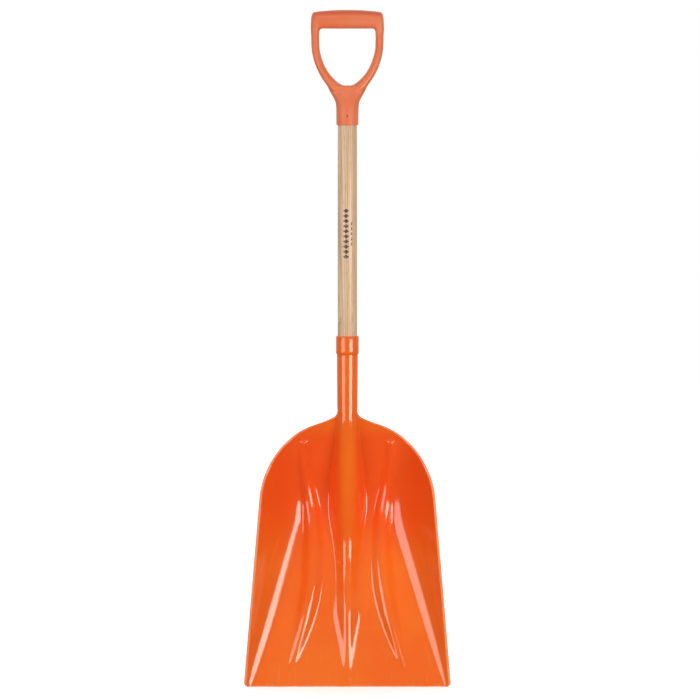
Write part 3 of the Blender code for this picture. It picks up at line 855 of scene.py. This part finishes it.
def ink_mark(tree, at):
    """Worn print on the front of the shaft: a row of lozenges with a dashed rule beside it."""
    x, y, z = (part_of(tree, at, axis) for axis in "XYZ")
    low, high = MARK_SPAN_Z
    half = (high - low) / 2
    from_middle = distance(tree, z, (low + high) / 2)
    along = maths(tree, "DIVIDE", maths(tree, "SUBTRACT", z, low), LOZENGE_PITCH)
    step = distance(tree, maths(tree, "FRACT", along), 0.5)
    aside = maths(tree, "DIVIDE", distance(tree, x, LOZENGE_X), LOZENGE_HALF_WIDTH)
    reach = maths(tree, "ADD", maths(tree, "DIVIDE", step, LOZENGE_SHARE), aside)
    row = times(tree, spread(tree, reach, 1.0, 0.88), spread(tree, from_middle, half, half - PRINT_EDGE))
    beside = spread(tree, distance(tree, x, RULE_X), RULE_HALF_WIDTH, RULE_HALF_WIDTH - 2 * PRINT_EDGE)
    dashes = times(tree, beside, spread(tree, step, 0.18, 0.22))
    rule = times(tree, dashes, spread(tree, from_middle, half / 2, half / 2 - PRINT_EDGE))
    front = spread(tree, y, 0.0, -0.004)
    kept = spread(tree, noise(tree, at, 900, 3, (1, 1, 0.3)), 0.72, 0.58)
    return times(tree, times(tree, maths(tree, "MAXIMUM", row, rule), front), kept)


def ash():
    """Turned ash: growth rings cut by the surface, dashes of open pores, a thin clear coat."""
    material, tree, shader, at = principled("ash", 0.42, Coat_Weight=0.25, Coat_Roughness=0.25)
    x, y, z = (part_of(tree, at, axis) for axis in "XYZ")
    drift = noise(tree, at, 9, 3, (1, 1, 0.12))
    across = maths(tree, "ADD", x, times(tree, y, 0.35))
    leaning = maths(tree, "ADD", across, times(tree, z, 0.012))
    warped = maths(tree, "ADD", leaning, times(tree, drift, 0.022))
    rings = maths(tree, "FRACT", times(tree, warped, 260))
    late = times(tree, spread(tree, rings, 0.35, 0.95), spread(tree, rings, 1.0, 0.96))
    fibres = noise(tree, at, 700, 3, (1, 1, 0.02))
    patch = noise(tree, at, 22, 3, (1, 1, 0.15))
    wood = mixed(tree, spread(tree, patch, 0.3, 0.7), (0.86, 0.590, 0.365), (0.97, 0.750, 0.520))
    wood = mixed(tree, times(tree, late, 0.48), wood, (0.47, 0.265, 0.128))
    wood = mixed(tree, spread(tree, fibres, 0.42, 0.66, 0.0, 0.38), wood, (0.52, 0.325, 0.175))
    pores = spread(tree, noise(tree, at, 560, 2, (1, 1, 0.09)), 0.58, 0.66)
    pores = times(tree, pores, spread(tree, rings, 0.5, 0.1, 0.25, 1.0))
    wood = mixed(tree, times(tree, pores, 0.6), wood, (0.28, 0.155, 0.08))
    coloured(tree, shader, mixed(tree, times(tree, ink_mark(tree, at), 0.92), wood, (0.035, 0.028, 0.026)))
    roughened(tree, shader, spread(tree, patch, 0.3, 0.7, 0.36, 0.50))
    bumped(tree, shader, maths(tree, "SUBTRACT", times(tree, fibres, 0.4), pores), 0.00008)
    return material


def grip_plastic():
    """Matte salmon-orange moulding with a fine spark-eroded texture, polished a little by hands, and painted
    shade in a deeper orange along the top of the bar.
    """
    material, tree, shader, at = principled("grip_plastic", 0.5)
    cloud = spread(tree, noise(tree, at, 28, 4), 0.3, 0.7)
    pigment = mixed(tree, cloud, (0.95, 0.215, 0.080), (0.98, 0.255, 0.105))
    # Painted shade: the top of the bar is a deeper orange, as if the light came from below.
    bar_top_shade = spread(tree, part_of(tree, at, "Z"), 0.018, 0.030, 0.0, 0.7)
    pigment = mixed(tree, bar_top_shade, pigment, (0.98, 0.135, 0.035))
    fleck = spread(tree, noise(tree, at, 1700, 1), 0.5, 0.75)
    coloured(tree, shader, mixed(tree, times(tree, fleck, 0.14), pigment, (0.93, 0.40, 0.26)))
    roughened(tree, shader, spread(tree, noise(tree, at, 40, 4), 0.3, 0.7, 0.34, 0.46))
    bumped(tree, shader, noise(tree, at, 1100, 3), 0.00010)
    return material


def steel():
    """Dull zinc plate with fine marks."""
    material, tree, shader, at = principled("steel", 0.4, Metallic=1.0)
    cloud = noise(tree, at, 600, 4)
    coloured(tree, shader, mixed(tree, spread(tree, cloud, 0.3, 0.7), (0.34, 0.34, 0.35), (0.56, 0.56, 0.55)))
    roughened(tree, shader, spread(tree, cloud, 0.3, 0.7, 0.50, 0.30))
    bumped(tree, shader, noise(tree, at, 2500, 2, (1, 1, 0.2)), 0.00003)
    return material


def paint(materials, *objects):
    for obj in objects:
        for material in materials:
            obj.data.materials.append(material)


build_head()
paint([ash()], build_shaft())
paint([grip_plastic()], build_grip())
paint([steel()], build_pin(), *(build_screw(node, z) for node, z in SCREW_LEVELS.items()))


# ---------------------------------------------------------------- floor, light and camera

FLOOR_SIZE = 14.0
FLOOR_GAP = 0.0005


def build_floor():
    """A pale floor just under the front edge, which neither lights the shovel nor shows in its gloss."""
    bpy.ops.mesh.primitive_plane_add(size=FLOOR_SIZE, location=(0, 0, EDGE_Z - FLOOR_GAP))
    floor = bpy.context.object
    floor.name = "floor"
    glow = {"Emission_Color": (1, 1, 1, 1), "Emission_Strength": 0.55}
    material, tree, shader, at = principled("floor", 0.7, **glow)
    coloured(tree, shader, mixed(tree, noise(tree, at, 3, 3), (0.91, 0.91, 0.905), (0.94, 0.94, 0.935)))
    floor.data.materials.append(material)
    floor.visible_diffuse = False
    floor.visible_glossy = False


LIGHT_DISTANCE = 2.2
LEFT_SPAN_Z = (-1.20, -0.35)
RIGHT_SPAN_Z = (-1.20, -0.56)
HIGH_SPAN_Z = (0.90, 2.20)


def soft_box(name, azimuth, width, span_z, power, colour):
    """An upright soft box in front of the shovel, `azimuth` degrees to the right of the view."""
    light = bpy.data.lights.new(name, "AREA")
    light.shape = "RECTANGLE"
    light.size = width
    light.size_y = span_z[1] - span_z[0]
    light.energy = power
    light.color = colour
    obj = bpy.data.objects.new(name, light)
    turn = math.radians(azimuth)
    out = Vector((math.sin(turn), -math.cos(turn), 0))
    obj.location = LIGHT_DISTANCE * out + Vector((0, 0, sum(span_z) / 2))
    obj.rotation_euler = (-out).to_track_quat("-Z", "Y").to_euler()
    bpy.context.scene.collection.objects.link(obj)


def studio_world():
    """White behind the shovel and to the camera, dim in front of it and below it."""
    world = bpy.data.worlds.new("studio")
    bpy.context.scene.world = world
    world.use_nodes = True
    tree = world.node_tree
    direction = add(tree, "ShaderNodeTexCoord").outputs["Generated"]
    behind = spread(tree, part_of(tree, direction, "Y"), -0.4, 0.8, 0.26, 1.0)
    above = spread(tree, part_of(tree, direction, "Z"), -0.35, 0.25, 0.25, 1.0)
    seen = add(tree, "ShaderNodeLightPath").outputs["Is Camera Ray"]
    inputs = {"Factor": seen, "A": times(tree, behind, above), "B": 1.0}
    strength = add(tree, "ShaderNodeMix", inputs, data_type="FLOAT").outputs["Result"]
    background = tree.nodes["Background"]
    background.inputs["Color"].default_value = (1, 1, 1, 1)
    tree.links.new(strength, background.inputs["Strength"])


FRAME_HEIGHT = 1.2627
CAMERA_DISTANCE = 9.0
CAMERA_ELEVATION = math.radians(4)
CAMERA_TARGET = Vector((0.0047, 0, -0.5785))
SENSOR_WIDTH = 36.0
CLIP_END = 50.0


def build_camera():
    """A long lens from the front, a little above the shovel."""
    data = bpy.data.cameras.new("camera")
    camera = bpy.data.objects.new("camera", data)
    bpy.context.scene.collection.objects.link(camera)
    bpy.context.scene.camera = camera
    out = Vector((0, -math.cos(CAMERA_ELEVATION), math.sin(CAMERA_ELEVATION)))
    camera.location = CAMERA_TARGET + CAMERA_DISTANCE * out
    camera.rotation_euler = (-out).to_track_quat("-Z", "Y").to_euler()
    data.sensor_width = SENSOR_WIDTH
    data.lens = SENSOR_WIDTH * CAMERA_DISTANCE / FRAME_HEIGHT
    data.clip_end = CLIP_END


build_floor()
soft_box("left_box", -45, 1.35, LEFT_SPAN_Z, 20, (1.0, 0.88, 0.84))
soft_box("right_box", 38, 1.25, RIGHT_SPAN_Z, 27, (1.0, 0.95, 0.90))
soft_box("high_box", 0, 1.6, HIGH_SPAN_Z, 14, (1.0, 1.0, 1.0))
studio_world()
build_camera()
bpy.context.scene.view_settings.view_transform = "Standard"
